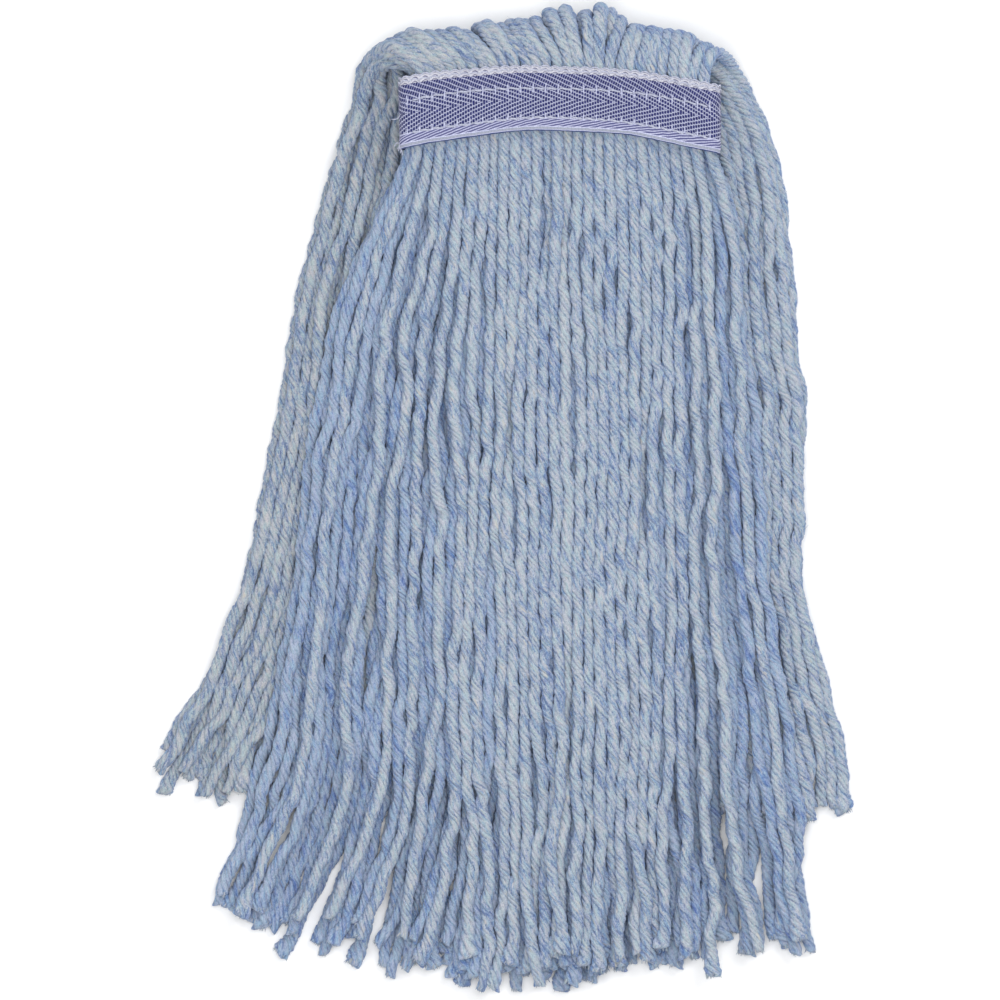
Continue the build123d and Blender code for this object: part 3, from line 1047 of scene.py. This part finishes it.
def herringbone(n, t, v):
    """Where navy weft shows between the warp threads, and the thin lines of the lower border."""
    # The warp threads lean a little in the upper third, where the weave is pulled
    above = n.math("MAXIMUM", n.math("SUBTRACT", v, UPPER_STITCHES / MM), 0.0)
    lean = n.product(above, 0.35)
    column = n.math("DIVIDE", n.math("SUBTRACT", t, lean), WARP_PITCH / MM)
    inside = n.math("FRACT", column)
    point = n.math("ABSOLUTE", n.math("SUBTRACT", v, CHEVRON_HEIGHT / MM))
    stepped = n.product(n.math("FLOOR", column), 0.25)
    sloped = n.product(column, 0.25)

    def rows(pitch, low, high, shift):
        return n.between(n.beat(point, pitch, shift), low, high)

    warp_gap = n.between(inside, 0.07, 0.93, 0.1)
    narrow_gap = n.math("ADD", n.product(n.between(inside, 0.12, 0.88, 0.1), 0.55), 0.45)
    dashes = n.product(rows(2.0, 0.05, 0.89, sloped), narrow_gap, n.between(v, 5.3, 12.9))
    dots = n.product(rows(1.95, 0.08, 0.86, stepped), warp_gap, n.between(v, -9.4, 5.3))
    thin = n.product(rows(1.25, 0.10, 0.74, sloped), 0.92, n.between(v, -13.6, -9.9))
    # Where the needle went through, the warp is pulled into a small white bar
    beat = n.beat(t, STITCH_PITCH / MM, 0.5)
    near_rows = n.math("MAXIMUM", n.between(v, 2.9, 7.5, 0.5), n.between(v, -11.0, -7.2, 0.5))
    bars = n.product(n.between(beat, 0.455, 0.545, 0.03), near_rows)
    navy = n.product(n.math("MAXIMUM", dashes, dots), n.math("SUBTRACT", 1.0, bars))
    return navy, thin


def picot_opening_shade(n, t, v):
    """Painted shade in the opening of each picot loop, and in the one before it in the row below.
    """
    off = n.math("SUBTRACT", n.beat(t, LOOP_PITCH / MM), 0.5)
    arch = n.product(off, off, 9.0)
    bent = n.math("ADD", v, arch)
    upper = n.math("ABSOLUTE", n.math("SUBTRACT", bent, 14.9))
    lower = n.math("ABSOLUTE", n.math("SUBTRACT", bent, 13.3))
    narrow = n.math("SUBTRACT", 1.0, n.between(n.math("ABSOLUTE", off), 0.32, 1.0, 0.05))
    gaps = n.math("MAXIMUM", n.between(upper, -1.0, 0.28, 0.1), n.between(lower, -1.0, 0.22, 0.1))
    return n.product(gaps, narrow, 0.85)


def tape_material():
    """Herringbone tape: navy weft seen between white warp threads, with white selvages."""
    n = Nodes("headband_tape")
    weave, t, v = tape_place(n)
    navy, thin = herringbone(n, t, v)
    cloth = n.noise(n.vector("MULTIPLY", weave, (1, 0.35, 1)), 2600, 2.0, 0.6)
    pale = n.ramp(cloth, (0.32, (0.31, 0.33, 0.50)), (0.66, (0.59, 0.61, 0.76)))
    deep = n.ramp(cloth, (0.34, (0.004, 0.006, 0.045)), (0.66, (0.016, 0.022, 0.150)))
    colour = n.mix(navy, pale, deep)
    colour = n.mix(thin, colour, (0.035, 0.035, 0.15))
    rib = n.between(n.beat(t, 1 / 1.55), 0.2, 0.8, 0.2)
    ribbed = n.mix(rib, (0.16, 0.18, 0.27), (0.40, 0.42, 0.48))
    fine = n.between(n.beat(v, 0.8), 0.0, 0.4, 0.1)
    ribbed = n.mix(n.product(fine, 0.5), ribbed, (0.12, 0.14, 0.25))
    colour = n.mix(n.between(v, -15.2, -14.1), colour, ribbed)
    # Along the lower edge a dark blue line: partly the tape's own blue underside, partly a painted
    # contact shadow
    colour = n.mix(n.between(v, -17.0, -15.5), colour, (0.035, 0.055, 0.16))
    selvage = n.ramp(cloth, (0.3, (0.36, 0.37, 0.44)), (0.62, (0.60, 0.60, 0.66)))
    colour = n.mix(n.between(v, 12.7, 17.0), colour, selvage)
    # Painted shade in the openings of the picot loops
    colour = n.mix(picot_opening_shade(n, t, v), colour, (0.05, 0.05, 0.13))
    return n.finish({
        "Base Color": colour,
        "Normal": n.bump(n.weighted((navy, -1.0), (cloth, 0.35)), 0.6, 0.0003),
        "Roughness": n.math("ADD", n.product(cloth, 0.25), 0.55),
        "Sheen Weight": 0.06,
        "Specular IOR Level": 0.2,
    })


# ---- Stage ----


def make_camera():
    data = bpy.data.cameras.new("camera")
    data.lens = 36 * (CAMERA_Z - SEEN_Z) / SEEN_WIDTH
    data.clip_end = 30
    bpy.context.scene.camera = new_object("camera", data, (*MIDDLE, CAMERA_Z))


def make_floor():
    side = 9.0
    mesh = bpy.data.meshes.new("floor")
    corners = [(-side, -side, 0), (side, -side, 0), (side, side, 0), (-side, side, 0)]
    mesh.from_pydata(corners, [], [(0, 1, 2, 3)])
    white = Nodes("floor").finish({"Base Color": (0.9, 0.9, 0.9, 1), "Roughness": 0.9})
    mesh.materials.append(white)
    new_object("floor", mesh, (0, 0, FLOOR_Z))


def make_lights():
    scene = bpy.context.scene
    for name, place, size, power in LIGHTS:
        data = bpy.data.lights.new(name, "AREA")
        data.size = size
        data.energy = power
        lamp = new_object(name, data, place)
        lamp.rotation_mode = "QUATERNION"
        towards = Vector((*MIDDLE, 0)) - Vector(place)
        lamp.rotation_quaternion = towards.to_track_quat("-Z", "Y")
    world = bpy.data.worlds.new("world")
    scene.world = world
    world.use_nodes = True
    background = world.node_tree.nodes["Background"].inputs
    background["Color"].default_value = (1, 1, 1, 1)
    background["Strength"].default_value = 0.55
    scene.view_settings.view_transform = "Standard"


# ---- The whole head ----


def place_front_piece(parts, name, material):
    """A piece of the front half, with its points in world coordinates."""
    piece = parts.build(name, material)
    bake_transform(piece)
    return piece


def make_front_half(half, lines, path_rng, look_rng, material):
    """Each top strand as its own piece, and the strands under them in locks side by side."""
    locks = [Strands() for _ in range(FRONT_LOCKS)]
    for row, column, line in zip(half.row, half.column, lines):
        route = wiggled(path_rng, even_path(line, 4 * MM))
        if row > 0:
            add_strand(locks[column * FRONT_LOCKS // COLUMNS], look_rng, route, UNDER_SHADE)
            continue
        top_strand = Strands()
        add_strand(top_strand, look_rng, route, 0)
        piece = place_front_piece(top_strand, f"front_strand_{column + 1:02d}", material)
    for index, parts in enumerate(locks):
        piece = place_front_piece(parts, f"front_yarn_{index + 1}", material)
        if index == 0:
            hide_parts(*[n for n in frame["nodes"] if n.startswith("front_")])


def make_rear_half(half, lines, path_rng, look_rng, material):
    """Each row as a left and a right piece, which bend over the crown."""
    for row in range(ROWS):
        sides = {"left": Strands(), "right": Strands()}
        for i in np.nonzero(half.row == row)[0]:
            route = wiggled(path_rng, even_path(lines[i], 3 * MM))
            share = half.share[i]
            parts = sides["right" if share > 0.5 else "left"]
            add_strand(parts, look_rng, route, 0, FULLER, greyer=1 - share)
        for side, parts in sides.items():
            piece = parts.build(f"rear_yarn_{row + 1}_{side}", material)
            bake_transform(piece)
            if row == 0 and side == "left":
                locks = [n for n in frame["nodes"] if n.startswith(("rear_", "head_lock"))]
                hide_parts(*locks)


def make_yarn():
    material = yarn_material()
    ys, front, rear, x, z = lay_out_strands()
    path_rng = np.random.default_rng(5)
    look_rng = np.random.default_rng(7)
    front_lines = front_paths(ys, front, x, z)
    rear_lines = rear_paths(path_rng, ys, front, rear, x, z)
    make_front_half(front, front_lines, path_rng, look_rng, material)
    make_rear_half(rear, rear_lines, path_rng, look_rng, material)


def make_headband():
    thread = thread_material()
    make_tape(tape_material())
    make_stitching(thread)
    make_edge_loops(thread)
    make_loose_threads(thread)


make_camera()
make_floor()
make_lights()
make_yarn()
make_headband()
